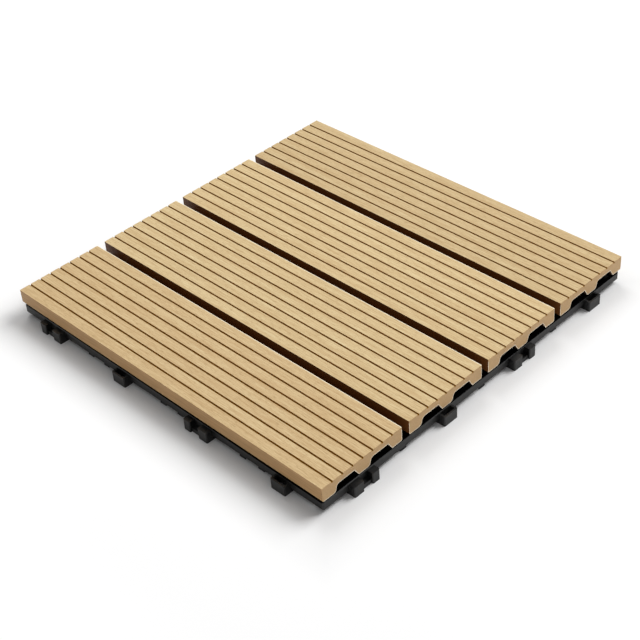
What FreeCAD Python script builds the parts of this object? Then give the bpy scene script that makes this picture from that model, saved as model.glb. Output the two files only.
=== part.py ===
"""Interlocking deck tile: four grooved composite slats screwed onto one moulded base grid.

Frame: the slats run along X and lie side by side along Y, +Z is up,
the origin is in the middle of the tile on the ground. Millimetres.
"""
import FreeCAD, Part
import os
import math
import Sketcher
from FreeCAD import Vector

os.makedirs("parts", exist_ok=True)

doc = FreeCAD.newDocument("deck_tile")
sheet = doc.addObject("Spreadsheet::Sheet", "sizes")

SIZES = {
    # the whole tile is a square, and the slats share its side
    "tile_side": 300,
    "slat_count": 4,
    "slat_gap": 6.67,
    # slat section
    "slat_thickness": 11,
    "outer_leg": 9,
    "middle_leg": 7.6,
    "channel_depth": 5.8,
    "channel_slant": 3.6,
    "channel_ogee": 5.8,
    "ogee_radius": 2.8,
    "slat_edge_radius": 1.2,
    "groove_count": 7,
    "groove_width": 1.4,
    "groove_depth": 1.1,
    # heights of the base, from the ground up to the seats of the slats
    "base_height": 11.4,
    "shadow_gap": 1.5,
    "rim_height": 6.1,
    # rim
    "rim_inset": 0.8,
    "rim_wall": 2.2,
    "rim_corner_radius": 1,
    "rim_edge_chamfer": 0.5,
    "bay_lift": 1.3,
    "bay_length": 38,
    "bay_slope": 5,
    # lattice
    "cells_per_slat": 4,
    "rib_wall": 1.8,
    "seat_setback": 3,
    # feet
    "foot_side": 5.5,
    "rim_foot_width": 5.5,
    "rim_foot_depth": 4,
    "rim_foot_setback": 2.2,
    "rim_foot_offset": 17,
    # connectors on each side, a clip and a loop by turns
    "connector_reach": 5,
    "loop_height": 7.9,
    "clip_height": 8.5,
    "connector_root": 4,
    "connector_edge_radius": 0.6,
    "loop_width": 12.6,
    "loop_side_wall": 1.5,
    "loop_front_wall": 1.3,
    "wide_block": 8.4,
    "narrow_block": 6.2,
    "clip_recess": 7.6,
    "clip_wall": 1.8,
    "clip_web_height": 3.3,
    "clip_web_setback": 1.5,
    # screws from below
    "screw_diameter": 3.5,
    "screw_length": 16,
    "screw_tip": 3,
    "screw_head_diameter": 6.5,
    "screw_head_height": 2.2,
    "screw_drive_width": 1.1,
    "screw_drive_span": 3.8,
    "screw_drive_depth": 1.3,
    "screw_hole_clearance": 0.4,
    "boss_side": 8,
}

# worked out from the sizes above, in the same sheet
DERIVED = {
    "slat_width": "=(tile_side - (slat_count - 1) * slat_gap) / slat_count",
    "slat_pitch": "=slat_width + slat_gap",
    "groove_pitch": "=slat_width / (groove_count + 1)",
    "channel_foot": "=(slat_width - 2 * outer_leg - middle_leg) / 2",
    "channel_pitch": "=channel_foot + middle_leg",
    "tile_height": "=base_height + slat_thickness",
    "rim_side": "=tile_side - 2 * rim_inset",
    "rim_top": "=base_height - shadow_gap",
    "rim_bottom": "=rim_top - rim_height",
    "rib_bottom": "=rim_bottom + bay_lift",
    "rib_height": "=rim_height - bay_lift",
    "rib_pitch": "=slat_pitch / cells_per_slat",
    "rib_count": "=2 * floor((rim_side / 2 - rim_wall) / rib_pitch) + 1",
    "screw_row": "=(rib_count - 1) / 2 * rib_pitch",
}


def fill_sheet():
    row = 1
    for table in (SIZES, DERIVED):
        for alias, value in table.items():
            sheet.set("A%d" % row, alias)
            sheet.set("B%d" % row, str(value))
            sheet.setAlias("B%d" % row, alias)
            row += 1
    doc.recompute()


def size(alias):
    return float(sheet.get(alias))


def new_body(name):
    body = doc.addObject("PartDesign::Body", name)
    body.Label = name
    return body


def origin_plane(body, role):
    for feature in body.Origin.OriginFeatures:
        if feature.Role == role:
            return feature
    raise ValueError(role)


def new_sketch(body, name, role, height=None):
    """Sketch on an origin plane, lifted by an expression where one is given."""
    sketch = body.newObject("Sketcher::SketchObject", name)
    sketch.AttachmentSupport = [(origin_plane(body, role), "")]
    sketch.MapMode = "FlatFace"
    if height is not None:
        sketch.setExpression("AttachmentOffset.Base.z", height)
    return sketch


def bind(sketch, constraint, expression):
    """Add a dimension and bind it to the sheet."""
    index = sketch.addConstraint(constraint)
    sketch.setExpression("Constraints[%d]" % index, expression)
    return index


def add_polygon(sketch, points):
    """Closed outline of straight edges, joined end to end."""
    first = sketch.GeometryCount
    count = len(points)
    for i in range(count):
        start = Vector(points[i][0], points[i][1], 0)
        end = Vector(points[(i + 1) % count][0], points[(i + 1) % count][1], 0)
        sketch.addGeometry(Part.LineSegment(start, end), False)
    for i in range(count):
        sketch.addConstraint(
            Sketcher.Constraint("Coincident", first + i, 2, first + (i + 1) % count, 1))
    return first


def place_point(sketch, edge, across, up, drawn=Vector(1, 1, 0)):
    """Fix the start of an edge by its signed distances from the sketch origin.

    Arcs that touch need the place where the point was drawn, or the sketch folds on the way.
    """
    bind(sketch, Sketcher.Constraint("DistanceX", -1, 1, edge, 1, drawn.x), across)
    bind(sketch, Sketcher.Constraint("DistanceY", -1, 1, edge, 1, drawn.y), up)


def add_box_outline(sketch, left, right, low, high):
    """Rectangle between four signed distances from the sketch origin."""
    first = add_polygon(sketch, [(-10, -10), (10, -10), (10, 10), (-10, 10)])
    for edge in (first, first + 2):
        sketch.addConstraint(Sketcher.Constraint("Horizontal", edge))
    for edge in (first + 1, first + 3):
        sketch.addConstraint(Sketcher.Constraint("Vertical", edge))
    place_point(sketch, first, left, low)
    place_point(sketch, first + 2, right, high)


def add_circle(sketch, across, up, diameter):
    circle = sketch.addGeometry(Part.Circle(Vector(5, 5, 0), Vector(0, 0, 1), 2), False)
    bind(sketch, Sketcher.Constraint("Diameter", circle, 4.0), diameter)
    bind(sketch, Sketcher.Constraint("DistanceX", -1, 1, circle, 3, 5.0), across)
    bind(sketch, Sketcher.Constraint("DistanceY", -1, 1, circle, 3, 5.0), up)


def pad(body, sketch, length, symmetric=False):
    feature = body.newObject("PartDesign::Pad", sketch.Name + "_pad")
    feature.Profile = sketch
    feature.setExpression("Length", length)
    feature.Refine = False
    if symmetric:
        feature.SideType = "Symmetric"
    body.Tip = feature
    doc.recompute()
    return feature


def pocket(body, sketch, length, reverse=False, symmetric=False):
    """Cut that must take material away, else the build stops."""
    before = body.Shape.Volume
    feature = body.newObject("PartDesign::Pocket", sketch.Name + "_cut")
    feature.Profile = sketch
    feature.setExpression("Length", length)
    feature.Reversed = reverse
    feature.Refine = False
    if symmetric:
        feature.SideType = "Symmetric"
    body.Tip = feature
    doc.recompute()
    if body.Shape.Volume > before - 0.01:
        raise RuntimeError(feature.Name + " cuts nothing")
    return feature


def row(body, name, role, length, count):
    """Straight row of copies along an axis of the body, for use in a pattern."""
    step = body.newObject("PartDesign::LinearPattern", name)
    step.Direction = (origin_plane(body, role), [""])
    step.setExpression("Length", length)
    step.setExpression("Occurrences", count)
    return step


def ring(body, name, count):
    """Copies turned about the vertical axis, for use in a pattern."""
    turn = body.newObject("PartDesign::PolarPattern", name)
    turn.Axis = (origin_plane(body, "Z_Axis"), [""])
    turn.Angle = 360
    turn.Occurrences = count
    return turn


def repeat(body, name, originals, steps):
    pattern = body.newObject("PartDesign::MultiTransform", name)
    pattern.Originals = originals
    pattern.Transformations = steps
    pattern.Refine = False
    body.Tip = pattern
    doc.recompute()
    return pattern


def edges_where(shape, test):
    """Names of the edges whose middle passes the test."""
    names = []
    for number, edge in enumerate(shape.Edges, 1):
        if test(edge):
            names.append("Edge%d" % number)
    return names


def round_edges(body, name, names, radius):
    base = body.Tip
    feature = body.newObject("PartDesign::Fillet", name)
    feature.Base = (base, names)
    feature.setExpression("Radius", radius)
    body.Tip = feature
    doc.recompute()
    return feature


# places that several pieces share, as expressions on the sheet
FIRST_SLAT = "-(sizes.slat_count - 1) / 2 * sizes.slat_pitch"
SLAT_ROW = "(sizes.slat_count - 1) * sizes.slat_pitch"
FIRST_BAY = "-(sizes.slat_count / 2 - 1) * sizes.slat_pitch"
BAY_ROW = "(sizes.slat_count - 2) * sizes.slat_pitch"
BAY_COUNT = "sizes.slat_count - 1"
FIRST_RIB = "-(sizes.rib_count - 1) / 2 * sizes.rib_pitch"
RIB_ROW = "(sizes.rib_count - 1) * sizes.rib_pitch"
RIB_LOW = FIRST_RIB + " - sizes.rib_wall / 2"
RIB_HIGH = FIRST_RIB + " + sizes.rib_wall / 2"
RIB_REACH = "(sizes.rim_side - sizes.rim_wall) / 2"
RIM_FACE = "sizes.rim_side / 2"
CONNECTOR_FRONT = "-(sizes.rim_side / 2 + sizes.connector_reach)"
CONNECTOR_ROOT = "-(sizes.rim_side / 2 - sizes.connector_root)"

fill_sheet()


def build_rim():
    """Outer frame of the base with its connectors."""
    body = new_body("base_rim")
    sketch = new_sketch(body, "rim", "XY_Plane", "sizes.rim_bottom")
    inner = "(sizes.rim_side / 2 - sizes.rim_wall)"
    add_box_outline(sketch, "-" + RIM_FACE, RIM_FACE, "-" + RIM_FACE, RIM_FACE)
    add_box_outline(sketch, "-" + inner, inner, "-" + inner, inner)
    pad(body, sketch, "sizes.rim_height")
    half = size("rim_side") / 2

    def is_outer_corner(edge):
        centre = edge.CenterOfMass
        return abs(abs(centre.x) - half) < 0.01 and abs(abs(centre.y) - half) < 0.01

    round_edges(body, "rim_corners", edges_where(body.Shape, is_outer_corner),
                "sizes.rim_corner_radius")

    def is_outer_top(edge):
        box = edge.BoundBox
        reach = max(box.XMax, box.YMax, -box.XMin, -box.YMin)
        return box.ZMin > size("rim_top") - 0.01 and reach > half - 0.01

    base = body.Tip
    chamfer = body.newObject("PartDesign::Chamfer", "rim_top_edge")
    chamfer.Base = (base, edges_where(body.Shape, is_outer_top))
    chamfer.setExpression("Size", "sizes.rim_edge_chamfer")
    body.Tip = chamfer
    doc.recompute()

    # shallow bays lift the lower edge of the rim between the connectors
    sketch = new_sketch(body, "bay", "XZ_Plane", RIM_FACE)
    edge = add_polygon(sketch, [(-19, 0), (19, 0), (14, 1), (-14, 1)])
    for number, (across, up) in enumerate((
            (" - sizes.bay_length / 2", "sizes.rim_bottom"),
            (" + sizes.bay_length / 2", "sizes.rim_bottom"),
            (" + sizes.bay_length / 2 - sizes.bay_slope", "sizes.rib_bottom"),
            (" - sizes.bay_length / 2 + sizes.bay_slope", "sizes.rib_bottom"))):
        place_point(sketch, edge + number, FIRST_BAY + across, up)
    bay = pocket(body, sketch, "sizes.rim_wall")
    repeat(body, "bays", [bay], [
        row(body, "bay_row", "X_Axis", BAY_ROW, BAY_COUNT), ring(body, "bay_ring", 4)])

    add_loops(body)
    add_clips(body)
    return body


def add_loops(body):
    """Loops: a front wall on two side walls that run in under the rim."""
    middle = FIRST_SLAT + " + sizes.slat_pitch"
    soft = "sizes.connector_edge_radius"
    outer = "sizes.loop_width / 2"
    inner = "(sizes.loop_width / 2 - sizes.loop_side_wall)"
    front_inside = CONNECTOR_FRONT + " + sizes.loop_front_wall"
    outline = [
        (" - " + outer, CONNECTOR_ROOT),
        (" - " + outer, CONNECTOR_FRONT + " + " + soft),
        (" - " + outer + " + " + soft, CONNECTOR_FRONT),
        (" + " + outer + " - " + soft, CONNECTOR_FRONT),
        (" + " + outer, CONNECTOR_FRONT + " + " + soft),
        (" + " + outer, CONNECTOR_ROOT),
        (" + " + inner, CONNECTOR_ROOT),
        (" + " + inner, front_inside),
        (" - " + inner, front_inside),
        (" - " + inner, CONNECTOR_ROOT),
    ]
    sketch = new_sketch(body, "loop", "XY_Plane")
    edge = add_polygon(sketch, [(-6, -4), (-6, -8), (-5, -9), (5, -9), (6, -8), (6, -4),
                                (4, -4), (4, -7), (-4, -7), (-4, -4)])
    for number, (across, up) in enumerate(outline):
        place_point(sketch, edge + number, middle + across, up)
    loop = pad(body, sketch, "sizes.loop_height")
    repeat(body, "loops", [loop], [
        row(body, "loop_row", "X_Axis", "(sizes.slat_count - 2) * sizes.slat_pitch",
            "sizes.slat_count / 2"),
        ring(body, "loop_ring", 4)])


def add_clips(body):
    """Clips: a wide and a narrow hollow block with a low web across the recess between them.

    Along the slats the wide block is the right one, seen from outside, and across them the left.
    """
    for name, turned, left_block, right_block in (
            ("long_clip", False, "sizes.narrow_block", "sizes.wide_block"),
            ("cross_clip", True, "sizes.wide_block", "sizes.narrow_block")):
        add_clip_pair(body, name, turned, left_block, right_block)


def place_outward(sketch, edge, along, out, turned):
    """Fix a point by its place along a side and its signed distance towards the front."""
    if turned:
        place_point(sketch, edge, "-1 * (" + out + ")", along)
    else:
        place_point(sketch, edge, along, out)


def add_clip_pair(body, name, turned, left_block, right_block):
    """One clip and its copies on two opposite sides of the square."""
    soft = "sizes.connector_edge_radius"
    half_recess = "sizes.clip_recess / 2"
    wall = "sizes.clip_wall"
    axis = "Y_Axis" if turned else "X_Axis"

    def clip_sketch(title, outlines):
        sketch = new_sketch(body, name + title, "XY_Plane")
        for side, outline in outlines:
            turn = -1 if side == "-" else 1
            points = [(turn * 4, -4), (turn * 4, -8), (turn * 5, -9),
                      (turn * 11, -9), (turn * 12, -8), (turn * 12, -4)]
            if len(outline) == 4:
                points = [(turn * 4, -4), (turn * 4, -9), (turn * 12, -9), (turn * 12, -4)]
            if turned:
                points = [(-out, along) for along, out in points]
            edge = add_polygon(sketch, points)
            for number, (along, out) in enumerate(outline):
                place_outward(sketch, edge + number, FIRST_SLAT + along, out, turned)
        return sketch

    def clip_places(title):
        return [row(body, name + title + "_row", axis, "(sizes.slat_count - 2) * sizes.slat_pitch",
                    "sizes.slat_count / 2"),
                ring(body, name + title + "_ring", 2)]

    blocks = []
    cores = []
    passages = []
    for side, block in (("-", left_block), ("+", right_block)):
        back = "+" if side == "-" else "-"
        near = side + half_recess
        far = near + side + block
        blocks.append((side, [
            (near, CONNECTOR_ROOT),
            (near, CONNECTOR_FRONT + " + " + soft),
            (near + side + soft, CONNECTOR_FRONT),
            (far + back + soft, CONNECTOR_FRONT),
            (far, CONNECTOR_FRONT + " + " + soft),
            (far, CONNECTOR_ROOT)]))
        inside = CONNECTOR_FRONT + " + " + wall
        for outlines, depth in ((cores, "-" + RIM_FACE), (passages, CONNECTOR_ROOT)):
            outlines.append((side, [
                (near + side + wall, depth), (near + side + wall, inside),
                (far + back + wall, inside), (far + back + wall, depth)]))
    feature = pad(body, clip_sketch("_blocks", blocks), "sizes.clip_height")
    repeat(body, name + "s", [feature], clip_places("_block"))

    # the blocks are cored out from below, in front of the rim and under it
    feature = pocket(body, clip_sketch("_core", cores), "sizes.clip_height - sizes.clip_wall",
                     reverse=True)
    repeat(body, name + "_cores", [feature], clip_places("_core"))
    feature = pocket(body, clip_sketch("_passage", passages), "sizes.rim_bottom", reverse=True)
    repeat(body, name + "_passages", [feature], clip_places("_passage"))

    front = CONNECTOR_FRONT + " + sizes.clip_web_setback"
    web = [("-" + half_recess, CONNECTOR_ROOT), ("-" + half_recess, front),
           ("+" + half_recess, front), ("+" + half_recess, CONNECTOR_ROOT)]
    feature = pad(body, clip_sketch("_web", [("+", web)]), "sizes.clip_web_height")
    repeat(body, name + "_webs", [feature], clip_places("_web"))


def screw_places(body, name):
    """Both ends of a slat, then every slat."""
    return [row(body, name + "_row_x", "X_Axis", "2 * sizes.screw_row", "2"),
            row(body, name + "_row_y", "Y_Axis", SLAT_ROW, "sizes.slat_count")]


def cut_screw_holes(body, name):
    """Clearance holes up through all that stands over the screw heads."""
    sketch = new_sketch(body, name, "XY_Plane", "sizes.rim_bottom")
    add_circle(sketch, "-sizes.screw_row", FIRST_SLAT,
               "sizes.screw_diameter + sizes.screw_hole_clearance")
    hole = pocket(body, sketch, "sizes.base_height - sizes.rim_bottom", reverse=True)
    repeat(body, name + "s", [hole], screw_places(body, name))


def build_long_ribs():
    """Ribs along the slats, from the middle of one rim wall to the middle of the other."""
    body = new_body("base_long_ribs")
    sketch = new_sketch(body, "long_rib", "XY_Plane", "sizes.rib_bottom")
    add_box_outline(sketch, "-" + RIB_REACH, RIB_REACH, RIB_LOW, RIB_HIGH)
    repeat(body, "long_ribs", [pad(body, sketch, "sizes.rib_height")],
           [row(body, "long_rib_row", "Y_Axis", RIB_ROW, "sizes.rib_count")])
    cut_screw_holes(body, "long_hole")
    return body


def build_cross_ribs():
    """Ribs across the slats, with the seats and the screw bosses."""
    body = new_body("base_cross_ribs")
    sketch = new_sketch(body, "cross_rib", "XY_Plane", "sizes.rib_bottom")
    add_box_outline(sketch, RIB_LOW, RIB_HIGH, "-" + RIB_REACH, RIB_REACH)
    repeat(body, "cross_ribs", [pad(body, sketch, "sizes.rib_height")],
           [row(body, "cross_rib_row", "X_Axis", RIB_ROW, "sizes.rib_count")])

    # every other cross rib is raised under each slat to seat it
    reach = "(sizes.slat_width / 2 - sizes.seat_setback)"
    sketch = new_sketch(body, "seat", "XY_Plane", "sizes.rib_bottom")
    add_box_outline(sketch, RIB_LOW, RIB_HIGH,
                    FIRST_SLAT + " - " + reach, FIRST_SLAT + " + " + reach)
    seat = pad(body, sketch, "sizes.base_height - sizes.rib_bottom")
    repeat(body, "seats", [seat], [
        row(body, "seat_row", "X_Axis", RIB_ROW, "(sizes.rib_count + 1) / 2"),
        row(body, "seat_slat_row", "Y_Axis", SLAT_ROW, "sizes.slat_count")])

    # a square boss under each end of a slat
    half_boss = "sizes.boss_side / 2"
    sketch = new_sketch(body, "boss", "XY_Plane", "sizes.rim_bottom")
    add_box_outline(sketch, "-sizes.screw_row - " + half_boss, "-sizes.screw_row + " + half_boss,
                    FIRST_SLAT + " - " + half_boss, FIRST_SLAT + " + " + half_boss)
    boss = pad(body, sketch, "sizes.base_height - sizes.rim_bottom")
    repeat(body, "bosses", [boss], screw_places(body, "boss"))
    cut_screw_holes(body, "cross_hole")
    return body


def build_feet():
    """Feet under the crossings, and others close behind the rim."""
    body = new_body("base_feet")
    step = "(sizes.cells_per_slat - 1) * sizes.rib_pitch"
    sketch = new_sketch(body, "foot", "XY_Plane")
    left = "-2 * " + step + " - sizes.foot_side / 2"
    right = "-2 * " + step + " + sizes.foot_side / 2"
    add_box_outline(sketch, left, right, left, right)
    foot = pad(body, sketch, "sizes.rib_bottom")
    repeat(body, "feet", [foot], [
        row(body, "foot_row_x", "X_Axis", "4 * " + step, "5"),
        row(body, "foot_row_y", "Y_Axis", "4 * " + step, "5")])

    # one foot in each bay, and a second beside it on the two sides along the slats
    front = "-(sizes.rim_side / 2 - sizes.rim_foot_setback)"
    for name, middle, turns in (("rim_foot", FIRST_BAY, 4),
                                ("side_foot", FIRST_BAY + " + sizes.rim_foot_offset", 2)):
        sketch = new_sketch(body, name, "XY_Plane")
        add_box_outline(sketch, middle + " - sizes.rim_foot_width / 2",
                        middle + " + sizes.rim_foot_width / 2",
                        front, front + " + sizes.rim_foot_depth")
        rim_foot = pad(body, sketch, "sizes.loop_height")
        repeat(body, name + "s", [rim_foot], [
            row(body, name + "_row", "X_Axis", BAY_ROW, BAY_COUNT),
            ring(body, name + "_ring", turns)])
    return body


def build_base_grid():
    """The base is moulded in one piece, so its forms are fused and their faces merged."""
    grid = doc.addObject("Part::MultiFuse", "base_grid")
    grid.Label = "base_grid"
    grid.Shapes = [build_rim(), build_long_ribs(), build_cross_ribs(), build_feet()]
    grid.Refine = True
    doc.recompute()
    return grid


def build_slat(number):
    """Extruded slat: two channels below, seven grooves on top, pilot holes in its outer legs."""
    name = "slat_%d" % number
    body = new_body(name)
    half_width = "sizes.slat_width / 2"

    # board of rectangular section, its two lower edges rounded
    sketch = new_sketch(body, name + "_board", "YZ_Plane")
    add_box_outline(sketch, "-" + half_width, half_width, "0", "sizes.slat_thickness")
    pad(body, sketch, "sizes.tile_side", symmetric=True)
    half = size("slat_width") / 2

    def is_lower_side(edge):
        box = edge.BoundBox
        return box.ZMax < 0.01 and box.XLength > 1 and abs(edge.CenterOfMass.y) > half - 0.01

    round_edges(body, name + "_lower_edges", edges_where(body.Shape, is_lower_side),
                "sizes.slat_edge_radius")

    # channel with a slanted wall on one side and an S-shaped wall on the other:
    # two arcs of one radius, joined by a straight line that touches both
    foot_left = "-sizes.slat_width / 2 + sizes.outer_leg"
    foot_right = foot_left + " + sizes.channel_foot"
    roof_left = foot_left + " + sizes.channel_ogee"
    roof_right = foot_right + " - sizes.channel_slant"
    sketch = new_sketch(body, name + "_channel", "YZ_Plane")
    left = -half + size("outer_leg")
    right = left + size("channel_foot")
    roof = size("channel_depth")
    ogee = size("channel_ogee")
    radius = size("ogee_radius")
    roof_start = Vector(left + ogee, roof, 0)
    roof_end = Vector(right - size("channel_slant"), roof, 0)
    wall_foot = Vector(right, 0, 0)
    ogee_foot = Vector(left, 0, 0)
    low_centre = Vector(left, radius, 0)
    high_centre = Vector(left + ogee, roof - radius, 0)
    centres = high_centre - low_centre
    turn = math.atan2(centres.y, centres.x) - math.acos(2 * radius / centres.Length)
    to_touch = Vector(math.cos(turn), math.sin(turn), 0) * radius
    low_end = low_centre + to_touch
    high_end = high_centre - to_touch
    segments = ((roof_end, wall_foot), (wall_foot, ogee_foot), (low_end, high_end),
                (roof_start, roof_end))
    wall, foot, neck, ceiling = [
        sketch.addGeometry(Part.LineSegment(*segment), False) for segment in segments]
    low_arc = sketch.addGeometry(Part.ArcOfCircle(
        Part.Circle(low_centre, Vector(0, 0, 1), radius), -math.pi / 2, turn), False)
    high_arc = sketch.addGeometry(Part.ArcOfCircle(
        Part.Circle(high_centre, Vector(0, 0, 1), radius), math.pi / 2, math.pi + turn), False)
    for first, first_end, second, second_end in (
            (wall, 2, foot, 1), (foot, 2, low_arc, 1), (ceiling, 2, wall, 1)):
        sketch.addConstraint(
            Sketcher.Constraint("Coincident", first, first_end, second, second_end))
    sketch.addConstraint(Sketcher.Constraint("Tangent", low_arc, 2, neck, 1))
    sketch.addConstraint(Sketcher.Constraint("Tangent", neck, 2, high_arc, 2))
    sketch.addConstraint(Sketcher.Constraint("Tangent", high_arc, 1, ceiling, 1))
    sketch.addConstraint(Sketcher.Constraint("Equal", low_arc, high_arc))
    sketch.addConstraint(Sketcher.Constraint("Vertical", low_arc, 1, low_arc, 3))
    bind(sketch, Sketcher.Constraint("Radius", low_arc, radius), "sizes.ogee_radius")
    place_point(sketch, ceiling, roof_left, "sizes.channel_depth", roof_start)
    place_point(sketch, wall, roof_right, "sizes.channel_depth", roof_end)
    place_point(sketch, foot, foot_right, "0", wall_foot)
    place_point(sketch, low_arc, foot_left, "0", ogee_foot)
    channel = pocket(body, sketch, "sizes.tile_side", symmetric=True)
    repeat(body, name + "_channels", [channel], [
        row(body, name + "_channel_row", "Y_Axis", "sizes.channel_pitch", "2")])

    # grooves along the top
    sketch = new_sketch(body, name + "_groove", "YZ_Plane")
    first_groove = "-" + half_width + " + sizes.groove_pitch"
    add_box_outline(sketch, first_groove + " - sizes.groove_width / 2",
                    first_groove + " + sizes.groove_width / 2",
                    "sizes.slat_thickness - sizes.groove_depth", "sizes.slat_thickness")
    groove = pocket(body, sketch, "sizes.tile_side", symmetric=True)
    repeat(body, name + "_grooves", [groove], [
        row(body, name + "_groove_row", "Y_Axis",
            "(sizes.groove_count - 1) * sizes.groove_pitch", "sizes.groove_count")])

    # pilot holes in the middle leg, which the screws fill
    sketch = new_sketch(body, name + "_pilot", "XY_Plane")
    add_circle(sketch, "-sizes.screw_row", "0", "sizes.screw_diameter")
    pilot = pocket(body, sketch, "sizes.screw_length - sizes.base_height + sizes.rim_bottom",
                   reverse=True)
    repeat(body, name + "_pilots", [pilot], [
        row(body, name + "_pilot_row", "X_Axis", "2 * sizes.screw_row", "2")])

    body.setExpression("Placement.Base.y",
                       FIRST_SLAT + " + %d * sizes.slat_pitch" % (number - 1))
    body.setExpression("Placement.Base.z", "sizes.base_height")
    return body


def build_screws():
    """Screws, all of one kind: heads under the bosses, points in the middle legs of the slats."""
    body = new_body("slat_screws")
    sketch = new_sketch(body, "screw_profile", "XZ_Plane")
    head = size("screw_head_diameter") / 2
    shank = size("screw_diameter") / 2
    low = -size("screw_head_height")
    tip = size("screw_length")
    neck = tip - size("screw_tip")
    edge = add_polygon(sketch, [(0, low), (head, low), (head, 0),
                                (shank, 0), (shank, neck), (0, tip)])
    outline = (
        ("0", "-sizes.screw_head_height"),
        ("sizes.screw_head_diameter / 2", "-sizes.screw_head_height"),
        ("sizes.screw_head_diameter / 2", "0"),
        ("sizes.screw_diameter / 2", "0"),
        ("sizes.screw_diameter / 2", "sizes.screw_length - sizes.screw_tip"),
        ("0", "sizes.screw_length"),
    )
    for number, (across, up) in enumerate(outline):
        place_point(sketch, edge + number, across, up)
    turned = body.newObject("PartDesign::Revolution", "screw_turned")
    turned.Profile = sketch
    turned.ReferenceAxis = (sketch, ["V_Axis"])
    turned.Angle = 360
    body.Tip = turned
    doc.recompute()

    # cross recess for the driver
    sketch = new_sketch(body, "screw_drive", "XY_Plane", "-sizes.screw_head_height")
    arm = "sizes.screw_drive_width / 2"
    reach = "sizes.screw_drive_span / 2"
    corners = ((arm, arm), (reach, arm), (reach, "-" + arm), (arm, "-" + arm),
               (arm, "-" + reach), ("-" + arm, "-" + reach), ("-" + arm, "-" + arm),
               ("-" + reach, "-" + arm), ("-" + reach, arm), ("-" + arm, arm),
               ("-" + arm, reach), (arm, reach))
    edge = add_polygon(sketch, [(1, 1), (3, 1), (3, -1), (1, -1), (1, -3), (-1, -3),
                                (-1, -1), (-3, -1), (-3, 1), (-1, 1), (-1, 3), (1, 3)])
    for number, (across, up) in enumerate(corners):
        place_point(sketch, edge + number, across, up)
    drive = pocket(body, sketch, "sizes.screw_drive_depth", reverse=True)

    repeat(body, "screws", [turned, drive], screw_places(body, "screw"))
    body.setExpression("Placement.Base.x", "-sizes.screw_row")
    body.setExpression("Placement.Base.y", FIRST_SLAT)
    body.setExpression("Placement.Base.z", "sizes.rim_bottom")
    return body


def check_document():
    """Every object has to be computed without a fault."""
    doc.recompute()
    for item in doc.Objects:
        if "Invalid" in item.State or "Error" in item.State:
            raise RuntimeError("%s: %s" % (item.Name, item.State))


def export(item):
    shape = item.Shape
    if shape.isNull() or not shape.isValid():
        raise RuntimeError(item.Label + " has no valid shape")
    shape.exportStep("parts/%s.step" % item.Label)
    box = shape.BoundBox
    print("%s: %d solids, %.0f mm3, x %.1f to %.1f, y %.1f to %.1f, z %.1f to %.1f" % (
        item.Label, len(shape.Solids), shape.Volume,
        box.XMin, box.XMax, box.YMin, box.YMax, box.ZMin, box.ZMax))


pieces = [build_base_grid()]
for number in range(1, int(size("slat_count")) + 1):
    pieces.append(build_slat(number))
pieces.append(build_screws())
check_document()
for piece in pieces:
    export(piece)
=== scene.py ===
# %% [markdown]
# # Interlocking deck tile
# Click-together floor tile for a balcony: four extruded wood-plastic slats stand on one
# injection-moulded grid, and screws from below hold them. The solids come from the packed
# model, so this lesson is about surfaces, light and camera: how extruded composite, moulded
# polypropylene and plated steel look, and how to make them from noise, bumps and masks.

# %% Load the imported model
import math
from types import SimpleNamespace

import bpy
from mathutils import Matrix, Vector


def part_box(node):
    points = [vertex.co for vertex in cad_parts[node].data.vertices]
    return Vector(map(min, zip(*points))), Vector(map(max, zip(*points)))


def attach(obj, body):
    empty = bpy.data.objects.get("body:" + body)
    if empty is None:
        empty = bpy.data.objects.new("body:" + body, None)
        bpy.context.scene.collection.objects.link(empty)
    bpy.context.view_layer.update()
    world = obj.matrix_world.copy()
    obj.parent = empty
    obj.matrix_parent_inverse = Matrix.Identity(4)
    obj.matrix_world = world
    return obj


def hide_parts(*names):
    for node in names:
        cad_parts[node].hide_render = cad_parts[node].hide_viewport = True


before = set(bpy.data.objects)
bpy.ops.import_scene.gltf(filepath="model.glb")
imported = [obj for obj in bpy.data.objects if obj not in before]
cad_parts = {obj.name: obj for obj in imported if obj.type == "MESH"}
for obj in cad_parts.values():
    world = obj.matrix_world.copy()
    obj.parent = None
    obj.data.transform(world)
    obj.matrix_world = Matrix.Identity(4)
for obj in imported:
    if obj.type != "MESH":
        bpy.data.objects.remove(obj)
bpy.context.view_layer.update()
MM = 0.001
print("nodes:", sorted(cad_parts))

# %% [markdown]
# ## One helper for every node
# A shader can be built by hand in Blender's node editor, or in code with three or four lines
# for each node. This lesson uses one small function instead. It adds a node of any kind, sets
# its properties, fills its sockets, and links what is given as another node or as one of its
# outputs. With it a material reads from top to bottom like a recipe.


# %% Node helper
def add(material, kind, inputs=None, stops=(), **settings):
    """Add a node, set its properties, fill or link its inputs, and set its colour stops.

    An input that is given as a node is linked to the first output that this node has in use.
    """
    node = material.node_tree.nodes.new("ShaderNode" + kind)
    for name, value in settings.items():
        setattr(node, name, value)
    for name, value in (inputs or {}).items():
        if isinstance(value, bpy.types.Node):
            value = next(output for output in value.outputs if output.enabled)
        if isinstance(value, bpy.types.NodeSocket):
            material.node_tree.links.new(value, node.inputs[name])
        else:
            node.inputs[name].default_value = value
    for _ in stops[2:]:  # a new ramp has two stops already
        node.color_ramp.elements.new(0.5)
    for index, (position, colour) in enumerate(stops):
        node.color_ramp.elements[index].position = position
        node.color_ramp.elements[index].color = colour
    return node
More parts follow.
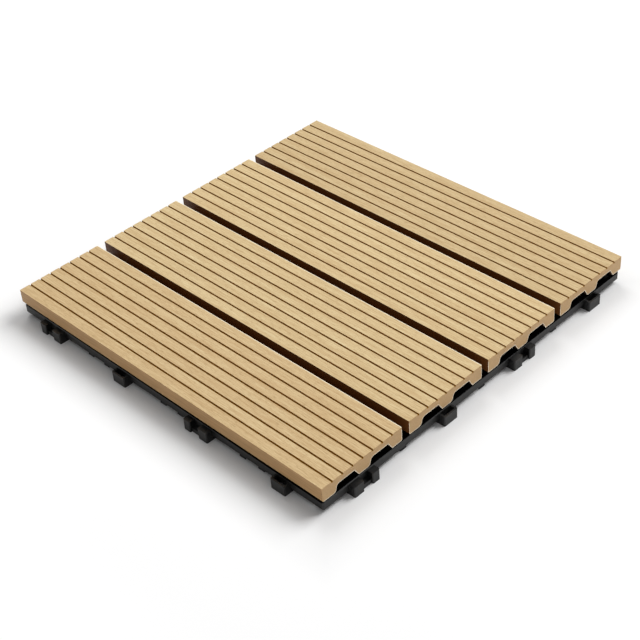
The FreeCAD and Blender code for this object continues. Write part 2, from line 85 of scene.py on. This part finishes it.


# %% [markdown]
# ## The slats: extruded wood-plastic composite, brushed
# Wood flour and plastic are pressed through a die, so the section is the same all along and
# there is no grain of growth rings. One board shows several surfaces: brushed skin on the top
# and the outer sides, darker brown grooves, sawn ends, and painted shade in the gaps, on the
# hollow underside and on the outer side at the front. The mesh could be split into one part for
# each of them. Here the shader tells them apart by place and by normal instead, which leaves
# the imported mesh alone and lets one surface fade into the next.
#
# First every board gets an empty material and the measures that the masks need: how far a
# point is from the long middle line of its board, and which way it faces.

# %% Four boards, measured
# each board's red, green and blue are scaled: slats 1 and 4 darker, slats 2 and 3 greener and
# bluer
SLATS = {"slat_1": (0.96, 0.95, 0.93), "slat_2": (1.0, 1.03, 1.03),
         "slat_3": (1.0, 1.03, 1.03), "slat_4": (0.9, 0.91, 0.9)}


def new_material(name):
    material = bpy.data.materials.new(name)
    material.use_nodes = True
    material.node_tree.nodes.clear()
    return material


boards = []
for number, (name, tone) in enumerate(SLATS.items(), 1):
    slat = new_material("wood_plastic_composite_extruded_brushed_%d" % number)
    low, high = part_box(name)
    middle = (low[1] + high[1]) / 2
    geometry = add(slat, "NewGeometry").outputs
    place = add(slat, "SeparateXYZ", {"Vector": geometry["Position"]}).outputs
    facing = add(slat, "SeparateXYZ", {"Vector": geometry["True Normal"]}).outputs
    off_middle = add(slat, "Math", {0: place["Y"], 1: middle}, operation="SUBTRACT")
    across = add(slat, "Math", {0: off_middle}, operation="ABSOLUTE")
    boards.append(SimpleNamespace(
        name=name, number=number, tone=tone, material=slat, middle=middle, top=high[2],
        half_width=(high[1] - low[1]) / 2, position=geometry["Position"], place=place,
        normal=geometry["True Normal"], facing=facing, across=across))
    print(name, "is", round((high[1] - low[1]) / MM, 2), "mm wide, its middle at",
          round(middle / MM, 2), "mm")

# %% [markdown]
# ### Brushed skin
# What looks like grain comes from brushing: wire brushes run along the board and open the
# skin in thin streaks. A wave texture would give stripes of even width. Noise that is
# stretched along X gives uneven ones, so it was chosen, in three widths: broad bands of tone,
# streaks, and short darker fibres. Streaks on real boards are about 0.3 mm wide; they are
# drawn coarser so that a picture of 640 pixels across 400 mm can show them.

# %% Noise drawn out along the boards
# width across the board, and how many times longer it is along the board
BAND, BAND_STRETCH = 6 * MM, 50
STREAK, STREAK_STRETCH = 0.75 * MM, 28
FIBRE, FIBRE_STRETCH = 0.45 * MM, 9
FEW_LAYERS, MORE_LAYERS = 2.0, 3.0  # of ever finer noise
LAYER_STRENGTH = 0.6
# each board is another stretch of stock, so its streaks start elsewhere in the noise
STOCK_STEP = 3.7
SIDE_STEP = 0.3


def brushed_noise(board, width, stretch, start, layers):
    """Noise of a given width across the board, drawn out along it."""
    along = add(board.material, "Mapping", {
        "Vector": board.position, "Location": (start, start * SIDE_STEP, 0),
        "Scale": (1 / (width * stretch), 1 / width, 1 / width)})
    return add(board.material, "TexNoise", {
        "Vector": along, "Scale": 1.0, "Detail": layers, "Roughness": LAYER_STRENGTH})


for board in boards:
    start = board.number * STOCK_STEP
    board.bands = brushed_noise(board, BAND, BAND_STRETCH, start, FEW_LAYERS)
    board.streaks = brushed_noise(board, STREAK, STREAK_STRETCH, start, MORE_LAYERS)
    board.fibres = brushed_noise(board, FIBRE, FIBRE_STRETCH, -start, FEW_LAYERS)
print("streaks are about", round(STREAK / MM, 2), "mm wide and",
      round(STREAK * STREAK_STRETCH / MM), "mm long")

# %% [markdown]
# ### Colour of the brushed skin
# Paint charts and photos give colours in sRGB, and shaders add and multiply light in linear
# values, so every colour is written as a hex value and turned once, times the tone of its
# board. A ramp lays three browns over the mixed noise; two would look like stripes, and a
# third one in the middle keeps most of the board calm. The fibres go on top, faintly.

# %% Colour of the brushed skin
BRUSHED_DEEP, BRUSHED_MIDDLE, BRUSHED_PALE = "#BFA074", "#CDB286", "#D9C297"
DEEP_AT, MIDDLE_AT, PALE_AT = 0.34, 0.5, 0.66
FIBRE_BROWN = "#A5875E"
STREAK_SHARE = 0.72
FIBRE_FROM, FIBRE_FULL = 0.52, 0.7
FIBRE_STRENGTH = 0.65


def linear(hex_colour, tone=(1, 1, 1)):
    """sRGB hex value to the linear colour that shaders use, times the tone of one board."""
    channels = [int(hex_colour[i:i + 2], 16) / 255 for i in (1, 3, 5)]
    return [share * (c / 12.92 if c <= 0.04045 else ((c + 0.055) / 1.055) ** 2.4)
            for c, share in zip(channels, tone)] + [1.0]


for board in boards:
    slat, tone = board.material, board.tone
    board.brushing = add(slat, "Mix", {
        "Factor": STREAK_SHARE, "A": board.bands, "B": board.streaks}, data_type="FLOAT")
    brushed = add(slat, "ValToRGB", {"Fac": board.brushing}, stops=[
        (DEEP_AT, linear(BRUSHED_DEEP, tone)), (MIDDLE_AT, linear(BRUSHED_MIDDLE, tone)),
        (PALE_AT, linear(BRUSHED_PALE, tone))])
    few = add(slat, "MapRange", {
        "Value": board.fibres, "From Min": FIBRE_FROM, "From Max": FIBRE_FULL})
    faint = add(slat, "Math", {0: few, 1: FIBRE_STRENGTH}, operation="MULTIPLY")
    board.skin = add(slat, "Mix", {
        "Factor": faint, "A": brushed, "B": linear(FIBRE_BROWN, tone)}, data_type="RGBA")
    print(board.name, "middle tone", [round(v, 2) for v in linear(BRUSHED_MIDDLE, tone)[:3]])

# %% [markdown]
# ### Grooves
# In the grooves the colour is a darker, redder brown than the brushed top. The normal can't
# find them, because the floor of a groove faces up just as the top does. So the mask is depth
# below the top. It keeps off the sides of the board, which are as deep and get colours of their
# own below.

# %% Darker brown in the grooves
GROOVE_BROWN = "#A2761C"
GROOVE_FROM, GROOVE_FULL = 0.04 * MM, 0.3 * MM
EDGE_FROM, EDGE_FULL = 0.05 * MM, 0.10 * MM
LOWEST_GROOVE = 1.5 * MM

for board in boards:
    slat, height = board.material, board.place["Z"]
    inside = add(slat, "MapRange", {
        "Value": board.across, "From Min": board.half_width - EDGE_FROM,
        "From Max": board.half_width - EDGE_FULL})
    deep = add(slat, "MapRange", {
        "Value": height, "From Min": board.top - GROOVE_FROM,
        "From Max": board.top - GROOVE_FULL})
    board.above = add(slat, "Math", {0: height, 1: board.top - LOWEST_GROOVE},
                      operation="GREATER_THAN")
    inside_deep = add(slat, "Math", {0: inside, 1: deep}, operation="MULTIPLY")
    groove = add(slat, "Math", {0: inside_deep, 1: board.above}, operation="MULTIPLY")
    board.colour = add(slat, "Mix", {
        "Factor": groove, "A": board.skin, "B": linear(GROOVE_BROWN)}, data_type="RGBA")
print("grooves are fully brown", round(GROOVE_FULL / MM, 2), "mm below the top")

# %% [markdown]
# ### Sides and gaps
# A side is what faces Y close to the long edge of its board; the normal alone would take the
# walls of the grooves too. The walls of each gap between two boards are painted a darker,
# redder
# brown than a groove: painted shade, with painted warm light bounced between the boards. The
# outer side at the front is painted darker and warmer than the top: painted shade. The other
# outer side can't be seen there and keeps the colour of the top.

# %% Find the sides and gaps
SIDEWAYS = 0.7
EDGE_STRIP = 1.3 * MM
OUTER_SIDE = 149 * MM

for board in boards:
    slat, sideways = board.material, board.place["Y"]
    leaning = add(slat, "Math", {0: board.facing["Y"]}, operation="ABSOLUTE")
    upright = add(slat, "Math", {0: leaning, 1: SIDEWAYS}, operation="GREATER_THAN")
    at_edge = add(slat, "Math", {0: board.across, 1: board.half_width - EDGE_STRIP},
                  operation="GREATER_THAN")
    board.side = add(slat, "Math", {0: upright, 1: at_edge}, operation="MULTIPLY")
    off_tile_middle = add(slat, "Math", {0: sideways}, operation="ABSOLUTE")
    board.in_gap = add(slat, "Math", {0: off_tile_middle, 1: OUTER_SIDE},
                       operation="LESS_THAN")
    # the outer side at the front gets painted shade
    board.in_photo = add(slat, "Math", {0: sideways, 1: 0.0}, operation="LESS_THAN")
print("sides are the outer", round(EDGE_STRIP / MM, 2), "mm of each board")

# %% Painted shade on the front side and in the gaps
# painted shade: the front outer side darker and warmer, the gap walls darker and redder
SHADED_SIDE_DEEP, SHADED_SIDE_PALE = "#AB8659", "#C39A6A"
SIDE_FROM, SIDE_FULL = 0.36, 0.62
GAP_SHADE_BROWN = "#70451F"

for board in boards:
    slat = board.material
    streaky = add(slat, "MapRange", {
        "Value": board.brushing, "From Min": SIDE_FROM, "From Max": SIDE_FULL})
    painted_side_shade = add(slat, "Mix", {
        "Factor": streaky, "A": linear(SHADED_SIDE_DEEP), "B": linear(SHADED_SIDE_PALE)}, data_type="RGBA")
    outer = add(slat, "Mix", {
        "Factor": board.in_photo, "A": board.skin, "B": painted_side_shade}, data_type="RGBA")
    side_skin_and_shade = add(slat, "Mix", {
        "Factor": board.in_gap, "A": outer, "B": linear(GAP_SHADE_BROWN)}, data_type="RGBA")
    board.colour = add(slat, "Mix", {
        "Factor": board.side, "A": board.colour, "B": side_skin_and_shade}, data_type="RGBA")
print("sides and gaps coloured on", len(boards), "boards")

# %% [markdown]
# ### Hollow underside
# Two channels run under each board and save weight. All that lies below the grooves and
# between the outer sides belongs to them, and the soles of the legs face down. Hardly any light
# gets there, and both are painted dark brown: painted shade.

# %% Hollow underside
# painted shade: the underside and the soles are painted darker than the rest of the board
UNDERSIDE_SHADE_BROWN = "#4A3320"
FACING_DOWN = -0.5

for board in boards:
    slat = board.material
    between_sides = add(slat, "Math", {0: board.across, 1: board.half_width - EDGE_STRIP},
                        operation="LESS_THAN")
    sole = add(slat, "Math", {0: board.facing["Z"], 1: FACING_DOWN}, operation="LESS_THAN")
    either = add(slat, "Math", {0: between_sides, 1: sole}, operation="MAXIMUM")
    below = add(slat, "Math", {0: 1.0, 1: board.above}, operation="SUBTRACT")
    board.hollow = add(slat, "Math", {0: either, 1: below}, operation="MULTIPLY")
    board.colour = add(slat, "Mix", {
        "Factor": board.hollow, "A": board.colour, "B": linear(UNDERSIDE_SHADE_BROWN)},
        data_type="RGBA")
print("the underside starts", round(LOWEST_GROOVE / MM, 2), "mm below the top")

# %% [markdown]
# ### Sawn ends
# The saw cuts through the body of the composite, which shows an even, fine speckle of wood
# flour without streaks. So the ends get a noise of their own, as wide one way as the other.
# Wood flour is about 0.3 mm; the speckle is drawn coarser, to show at all.

# %% Sawn ends
SAWN_DEEP, SAWN_TAN = "#BA996F", "#C4A276"
SPECKLE = 0.8 * MM
NOISE_LOW, NOISE_HIGH = 0.3, 0.7  # nearly all values of a noise lie between these two
ENDWAYS = 0.9

for board in boards:
    slat = board.material
    speckle = add(slat, "TexNoise", {
        "Vector": board.position, "Scale": 1 / SPECKLE, "Detail": FEW_LAYERS})
    sawn = add(slat, "ValToRGB", {"Fac": speckle}, stops=[
        (NOISE_LOW, linear(SAWN_DEEP)), (NOISE_HIGH, linear(SAWN_TAN))])
    leaning = add(slat, "Math", {0: board.facing["X"]}, operation="ABSOLUTE")
    board.is_end = add(slat, "Math", {0: leaning, 1: ENDWAYS}, operation="GREATER_THAN")
    board.colour = add(slat, "Mix", {
        "Factor": board.is_end, "A": board.colour, "B": sawn}, data_type="RGBA")
print("sawn ends have a speckle of", round(SPECKLE / MM, 2), "mm")

# %% [markdown]
# ### Painted edge highlights
# The lower edges of each end and the far edge along each gap get a pale painted highlight,
# where light catches them. Thin strips of mesh could show that. The Bevel node needs none: it
# gives the normal as if the edges were rounded, and where that one turns away from the true
# normal, an edge is near.

# %% Find the edges
EDGE_WIDTH = 1.1 * MM
EDGE_SAMPLES = 6
NO_EDGE, FULL_EDGE = 0.998, 0.95

for board in boards:
    slat = board.material
    rounded = add(slat, "Bevel", {"Radius": EDGE_WIDTH}, samples=EDGE_SAMPLES)
    agree = add(slat, "VectorMath", {0: rounded, 1: board.normal}, operation="DOT_PRODUCT")
    board.on_edge = add(slat, "MapRange", {
        "Value": agree, "From Min": NO_EDGE, "From Max": FULL_EDGE})
print("edges are looked for within", round(EDGE_WIDTH / MM, 2), "mm")

# %% Colour of the painted edge highlights
# painted highlight: near white along the lower edges of the ends and the far edge of each gap
PAINTED_EDGE_HIGHLIGHT = "#FBF1DA"
LOW_FROM, LOW_FULL = 1.4 * MM, 2.0 * MM
UPWARD_FROM, UPWARD_FULL = 0.5, 0.9
GAP_EDGE = 34 * MM

for board in boards:
    slat, place = board.material, board.place
    low = add(slat, "MapRange", {
        "Value": place["Z"], "From Min": board.top - LOW_FROM,
        "From Max": board.top - LOW_FULL})
    low_on_end = add(slat, "Math", {0: board.is_end, 1: low}, operation="MULTIPLY")
    upward = add(slat, "MapRange", {
        "Value": board.facing["Z"], "From Min": UPWARD_FROM, "From Max": UPWARD_FULL})
    far_edge = add(slat, "Math", {0: place["Y"], 1: board.middle + GAP_EDGE},
                   operation="GREATER_THAN")
    along_gap = add(slat, "Math", {0: upward, 1: far_edge}, operation="MULTIPLY")
    either = add(slat, "Math", {0: low_on_end, 1: along_gap}, operation="MAXIMUM")
    in_place = add(slat, "Math", {0: board.in_gap, 1: either}, operation="MULTIPLY")
    edge_highlight = add(slat, "Math", {0: board.on_edge, 1: in_place}, operation="MULTIPLY")
    board.colour = add(slat, "Mix", {
        "Factor": edge_highlight, "A": board.colour, "B": linear(PAINTED_EDGE_HIGHLIGHT)}, data_type="RGBA")
print("edges paled on", len(boards), "boards")

# %% [markdown]
# ### Finished slats
# Brushing roughens the skin, and the die leaves it smoother where no brush reaches, so the
# same masks choose between two values of roughness. The streaks press into the surface a
# little, as a bump: they are far too fine for the mesh. Polypropylene or polyethylene holds
# the wood flour, with an IOR of about 1.5, but the flour at the surface takes most of its
# gloss away, so the specular level is low.

# %% Finished slats
BRUSHED_ROUGHNESS, DIE_ROUGHNESS = 0.74, 0.5
STREAK_DEPTH, STREAK_STRENGTH = 0.1 * MM, 0.3
COMPOSITE_IOR = 1.5
COMPOSITE_SPECULAR = 0.2


def finish(material, surface):
    add(material, "OutputMaterial", {"Surface": surface})
    print("material", material.name, "has", len(material.node_tree.nodes), "nodes")
    return material


def wear(name, material):
    """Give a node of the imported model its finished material."""
    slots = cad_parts[name].data.materials
    for index in range(len(slots)):
        slots[index] = material
    if not slots:
        slots.append(material)


for board in boards:
    slat = board.material
    polish = add(slat, "Math", {0: board.hollow, 1: board.side}, operation="MAXIMUM")
    roughness = add(slat, "MapRange", {
        "Value": polish, "To Min": BRUSHED_ROUGHNESS, "To Max": DIE_ROUGHNESS})
    bump = add(slat, "Bump", {
        "Height": board.streaks, "Strength": STREAK_STRENGTH, "Distance": STREAK_DEPTH})
    surface = add(slat, "BsdfPrincipled", {
        "Base Color": board.colour, "Roughness": roughness, "IOR": COMPOSITE_IOR,
        "Specular IOR Level": COMPOSITE_SPECULAR, "Normal": bump})
    wear(board.name, finish(slat, surface))

# %% [markdown]
# ## The base: injection-moulded polypropylene, black
# The pigment is carbon black, so hardly any light comes back from inside; what the eye reads
# is the soft white reflection on each face and along each edge. So the colour is nearly
# nothing, roughness varies gently over a few millimetres where the melt shrank, and a weak
# bump breaks the reflection up.
#
# The moulding has two materials. A polished mould leaves a satin skin, which shows on clips,
# rim and lower ribs. On the tops of ribs and rim and just inside the rim, under the slats, the
# plastic is painted nearly pure black and rough, with a specular level of nothing: painted
# shade.
# One material with a mask could do both; here they are two, each with one specular level. The
# grain of a mould is about 0.2 mm; it is drawn coarser, to show at all.

# %% Black moulded polypropylene
SHRINK_MARK = 6 * MM
MOULD_GRAIN = 0.7 * MM
GRAIN_DEPTH, GRAIN_STRENGTH = 0.05 * MM, 0.2
POLYPROPYLENE_IOR = 1.49


def polypropylene_material(finish_name, deep, pale, smoothest, roughest, specular):
    plastic = new_material("polypropylene_moulded_black_" + finish_name)
    position = add(plastic, "NewGeometry")
    cloudy = add(plastic, "TexNoise", {
        "Vector": position, "Scale": 1 / SHRINK_MARK, "Detail": MORE_LAYERS})
    grain = add(plastic, "TexNoise", {
        "Vector": position, "Scale": 1 / MOULD_GRAIN, "Detail": FEW_LAYERS})
    colour = add(plastic, "ValToRGB", {"Fac": cloudy}, stops=[
        (NOISE_LOW, linear(deep)), (NOISE_HIGH, linear(pale))])
    roughness = add(plastic, "MapRange", {
        "Value": cloudy, "From Min": NOISE_LOW, "From Max": NOISE_HIGH,
        "To Min": smoothest, "To Max": roughest})
    bump = add(plastic, "Bump", {
        "Height": grain, "Strength": GRAIN_STRENGTH, "Distance": GRAIN_DEPTH})
    surface = add(plastic, "BsdfPrincipled", {
        "Base Color": colour, "Roughness": roughness, "IOR": POLYPROPYLENE_IOR,
        "Specular IOR Level": specular, "Normal": bump})
    return finish(plastic, surface)


satin_plastic = polypropylene_material(
    "satin", deep="#0E0E0E", pale="#181817", smoothest=0.36, roughest=0.48, specular=0.4)
# painted shade: nearly black and without reflection, for the faces under the slats
painted_shade_plastic = polypropylene_material(
    "painted_shade", deep="#030303", pale="#060606", smoothest=0.8, roughest=0.9, specular=0.0)

# %% [markdown]
# ### The base as moulded
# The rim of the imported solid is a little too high, and its bays are too deep. On the moulding
# the rim stands lower than the ribs behind it, which leaves the dark line between rim and
# slats, and its lower edge is almost straight, with only a trace of the bays. The feet behind
# it come forward at the bottom, so that they show as small nubs. A new mesh could be built
# for that. Moving the points of a copy is safer, because every rib, boss and clip stays where
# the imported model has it; the copy then stands for the node.

# %% Rim and feet
RIM_INSIDE = 146.9 * MM  # what is further out than this belongs to the rim
# heights of the rim's edges in mm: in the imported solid, and on the moulding
RIM_HEIGHTS = {9.9: 9.1, 9.4: 8.6, 5.1: 3.7, 3.8: 3.4}
SAME_HEIGHT = 0.02 * MM
# outer faces of the feet, the part of them that moves, and how far it comes forward
FOOT_FACE, SAME_FACE = 147.0 * MM, 0.1 * MM
FOOT_HEIGHT = 3 * MM
FOOT_TOE = 0.9 * MM

moulding = bpy.data.objects.new("base_moulding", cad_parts["base_grid"].data.copy())
bpy.context.scene.collection.objects.link(moulding)
rim_points = foot_points = 0
for vertex in moulding.data.vertices:
    for axis in (0, 1):
        on_foot_face = abs(abs(vertex.co[axis]) - FOOT_FACE) < SAME_FACE
        if on_foot_face and vertex.co.z < FOOT_HEIGHT:
            vertex.co[axis] += math.copysign(FOOT_TOE, vertex.co[axis])
            foot_points += 1
    if max(abs(vertex.co.x), abs(vertex.co.y)) < RIM_INSIDE:
        continue
    for packed, moulded in RIM_HEIGHTS.items():
        if abs(vertex.co.z - packed * MM) < SAME_HEIGHT:
            vertex.co.z = moulded * MM
            rim_points += 1
            break
print("base moulding:", rim_points, "rim points and", foot_points, "foot points of",
      len(moulding.data.vertices), "moved")

# %% [markdown]
# ### Two materials on one moulding
# Each face of the mesh gets one of the two materials, by where it lies. A face gets the painted
# shade if it is high up and inside the rim's outer face, and either faces up or lies close to
# the rim.

# %% Satin faces and faces with painted shade
# painted shade on faces high up and inside the rim
PAINTED_SHADE_FROM, PAINTED_SHADE_REACH = 6.5 * MM, 148.9 * MM
NEAR_RIM = 138 * MM
UPWARD = 0.5

moulding.data.materials.clear()
moulding.data.materials.append(satin_plastic)
moulding.data.materials.append(painted_shade_plastic)
painted_shade_faces = 0
for face in moulding.data.polygons:
    reach = max(abs(face.center.x), abs(face.center.y))
    high_inside = face.center.z > PAINTED_SHADE_FROM and reach < PAINTED_SHADE_REACH
    painted_shade = high_inside and (face.normal.z > UPWARD or reach > NEAR_RIM)
    face.material_index = int(painted_shade)
    painted_shade_faces += painted_shade
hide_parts("base_grid")
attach(moulding, "root")
print(painted_shade_faces, "of", len(moulding.data.polygons), "faces are textured")

# %% [markdown]
# ## The screws: zinc-plated steel
# Small screws are barrel plated with zinc and passivated, which gives a pale bluish grey
# metal. Tumbling leaves no direction in the finish, so the roughness is cloudy, not brushed.

# %% Zinc-plated steel
ZINC_DEEP, ZINC_PALE = "#B9BCC0", "#D2D3D2"
ZINC_CLOUD = 1.5 * MM
ZINC_SMOOTHEST, ZINC_ROUGHEST = 0.28, 0.42

zinc = new_material("steel_zinc_plated")
cloudy = add(zinc, "TexNoise", {
    "Vector": add(zinc, "NewGeometry"), "Scale": 1 / ZINC_CLOUD, "Detail": MORE_LAYERS})
colour = add(zinc, "ValToRGB", {"Fac": cloudy}, stops=[
    (NOISE_LOW, linear(ZINC_DEEP)), (NOISE_HIGH, linear(ZINC_PALE))])
roughness = add(zinc, "MapRange", {
    "Value": cloudy, "From Min": NOISE_LOW, "From Max": NOISE_HIGH,
    "To Min": ZINC_SMOOTHEST, "To Max": ZINC_ROUGHEST})
surface = add(zinc, "BsdfPrincipled", {
    "Base Color": colour, "Roughness": roughness, "Metallic": 1.0})
wear("slat_screws", finish(zinc, surface))

# %% [markdown]
# ## The table
# A product photo on white needs a table that is wider than the picture. A sheet that curves
# up behind the tile would hide the far edge. Here the world behind the table is white to the
# camera as well, so one flat square is enough.

# %% Wide table
TABLE_REACH = 6.0
table_mesh = bpy.data.meshes.new("studio_floor")
table_mesh.from_pydata(
    [(-TABLE_REACH, -TABLE_REACH, 0), (TABLE_REACH, -TABLE_REACH, 0),
     (TABLE_REACH, TABLE_REACH, 0), (-TABLE_REACH, TABLE_REACH, 0)], [], [(0, 1, 2, 3)])
table = bpy.data.objects.new("studio_floor", table_mesh)
bpy.context.scene.collection.objects.link(table)
print("table of", 2 * TABLE_REACH, "m")

# %% [markdown]
# ### White paper with painted shade under the tile
# The table is covered with white paper. Under the tile it is painted black, a little smaller
# than the base and pushed towards its back: painted shade, so that no white shows through the
# open lattice. The painted shade is drawn in the material of the paper, by how far a point
# is from the middle as a square counts it, which is the larger of its two distances.

# %% White paper with painted shade under the tile
# painted shade: under the tile the paper is painted black
PAPER_WHITE, UNDER_TILE_SHADE_BLACK = "#F4F4F4", "#101010"
PAPER_ROUGHNESS = 0.5
UNDER_TILE_SHADE_REACH = 146 * MM
UNDER_TILE_SHADE_SHIFT = 5.5 * MM


def square_distance(material, x, y):
    off_x = add(material, "Math", {0: x}, operation="ABSOLUTE")
    off_y = add(material, "Math", {0: y}, operation="ABSOLUTE")
    return add(material, "Math", {0: off_x, 1: off_y}, operation="MAXIMUM")


white = new_material("white_paper_with_painted_shade")
spot = add(white, "SeparateXYZ", {"Vector": add(white, "NewGeometry")}).outputs
from_shade_middle = add(white, "Math", {0: spot["Y"], 1: UNDER_TILE_SHADE_SHIFT}, operation="SUBTRACT")
bare = add(white, "Math", {0: square_distance(white, spot["X"], from_shade_middle), 1: UNDER_TILE_SHADE_REACH},
           operation="GREATER_THAN")
cover = add(white, "Mix", {
    "Factor": bare, "A": linear(UNDER_TILE_SHADE_BLACK), "B": linear(PAPER_WHITE)}, data_type="RGBA")
paper = add(white, "BsdfDiffuse", {"Color": cover, "Roughness": PAPER_ROUGHNESS})
# width of the painted shade under the tile
print("black card of", round(2 * UNDER_TILE_SHADE_REACH / MM), "mm")

# %% [markdown]
# ### A glow that only the camera sees
# More light would turn the paper pure white and bleach the tile with it. So the paper glows a
# little instead, but only for camera, glossy and transmission rays: that lifts it to white,
# lights nothing, and keeps the shadow. The glow grows further out, where the soft boxes reach
# less. Towards the tile it fades out, a painted shadow around the tile, and under the tile it
# stops, which is painted shade.

# %% Glow of the paper
GLOW_COLOUR = "#FFFFFF"
GLOW_NEAR, GLOW_FAR = 0.13, 1.0
FADE_START, FADE_END = 0.25, 2.5
# painted shadow: the glow fades out from 190 mm to 150 mm from the middle and is gone under the
# tile
SHADOW_FADE_FROM, SHADOW_FADE_FULL = 150 * MM, 190 * MM


def seen_directly(material):
    """1 for the rays that show a thing to the camera, straight, in a gloss or through glass."""
    ray = add(material, "LightPath").outputs
    indirect = add(material, "Math", {0: ray["Is Glossy Ray"], 1: ray["Is Transmission Ray"]},
                   operation="MAXIMUM")
    return add(material, "Math", {0: ray["Is Camera Ray"], 1: indirect}, operation="MAXIMUM")


from_middle = square_distance(white, spot["X"], spot["Y"])
glow_outside_painted_shadow = add(white, "MapRange", {
    "Value": from_middle, "From Min": SHADOW_FADE_FROM, "From Max": SHADOW_FADE_FULL})
outward = add(white, "MapRange", {
    "Value": from_middle, "From Min": FADE_START, "From Max": FADE_END,
    "To Min": GLOW_NEAR, "To Max": GLOW_FAR})
seen_outside_shadow = add(white, "Math", {0: seen_directly(white), 1: glow_outside_painted_shadow}, operation="MULTIPLY")
strength = add(white, "Math", {0: seen_outside_shadow, 1: outward}, operation="MULTIPLY")
glow = add(white, "Emission", {"Color": linear(GLOW_COLOUR), "Strength": strength})
table_mesh.materials.append(finish(white, add(white, "AddShader", {0: paper, 1: glow})))

# %% [markdown]
# ## Two soft boxes
# One large soft box stands high up behind the tile, so that the walking surface is bright and
# both visible sides are calmer. A second, weaker one at the left fills the shadows. Sun lamps
# would give hard shadow edges; the photo has soft ones, which take a wide source.


# %% Soft boxes
def soft_box(name, place, side, power):
    """Square lamp that faces the tile; metres and watts."""
    lamp = bpy.data.lights.new(name, "AREA")
    lamp.shape = "SQUARE"
    lamp.size = side
    lamp.energy = power
    holder = bpy.data.objects.new(name, lamp)
    holder.location = place
    holder.rotation_euler = (-Vector(place)).to_track_quat("-Z", "Y").to_euler()
    bpy.context.scene.collection.objects.link(holder)
    print(name, "at", place, "with", power, "W")


soft_box("key_soft_box", place=(0.8, 1.9, 2.2), side=1.8, power=84)
soft_box("second_soft_box", place=(-1.5, 0.8, 2.2), side=1.4, power=25)

# %% [markdown]
# ## Light from all round
# The walls and ceiling of a studio send back a little light from everywhere, more from above
# than from the side. A sky texture would add a colour cast; a grey that rises from the
# horizon to the zenith doesn't. To the camera the same world is a plain white backdrop.

# %% Light from all round
HORIZON, ZENITH = 0.1, 0.4
BACKDROP = 1.0
STUDIO_WHITE = "#FFFFFF"

world = bpy.data.worlds.new("studio_world")
bpy.context.scene.world = world
world.use_nodes = True
world.node_tree.nodes.clear()
upward = add(world, "SeparateXYZ", {"Vector": add(world, "TexCoord")}).outputs["Z"]
overhead = add(world, "MapRange", {"Value": upward, "To Min": HORIZON, "To Max": ZENITH})
around = add(world, "Background", {"Color": linear(STUDIO_WHITE), "Strength": overhead})
backdrop = add(world, "Background", {"Color": linear(STUDIO_WHITE), "Strength": BACKDROP})
chosen = add(world, "MixShader", {0: seen_directly(world), 1: around, 2: backdrop})
add(world, "OutputWorld", {"Surface": chosen})
print("world", world.name, "has", len(world.node_tree.nodes), "nodes")

# %% [markdown]
# ## Camera
# The photo was taken with a long lens from about 38 degrees above the table. The camera could
# be placed by eye; these numbers come from matching the corners of the slats instead, and the
# small roll is the photo's own.

# %% Camera at the photo's angle
AZIMUTH = math.radians(47.32)
ELEVATION = math.radians(38.33)
ROLL = math.radians(-4.57)
DISTANCE = 930.4 * MM
AIM = Vector((37.8, -37.1, 22.4)) * MM

back = Vector((math.sin(AZIMUTH) * math.cos(ELEVATION),
               -math.cos(AZIMUTH) * math.cos(ELEVATION), math.sin(ELEVATION)))
level_right = Vector((math.cos(AZIMUTH), math.sin(AZIMUTH), 0))
level_up = back.cross(level_right)
right = level_right * math.cos(ROLL) + level_up * math.sin(ROLL)
up = back.cross(right)
print("the camera looks from", [round(v, 3) for v in back])

# %% Lens and picture
FOCAL_PIXELS = 1380.6
PICTURE_PIXELS = 640
FULL_FRAME = 36

lens = bpy.data.cameras.new("photo_camera")
lens.sensor_width = FULL_FRAME
lens.lens = FOCAL_PIXELS / PICTURE_PIXELS * lens.sensor_width
camera = bpy.data.objects.new("photo_camera", lens)
camera.matrix_world = Matrix.Translation(AIM + back * DISTANCE) @ Matrix(
    (right, up, back)).transposed().to_4x4()
bpy.context.scene.collection.objects.link(camera)
bpy.context.scene.camera = camera
bpy.context.scene.view_settings.view_transform = "Standard"
print("camera at", [round(v, 4) for v in camera.location], "lens", round(lens.lens, 2), "mm")
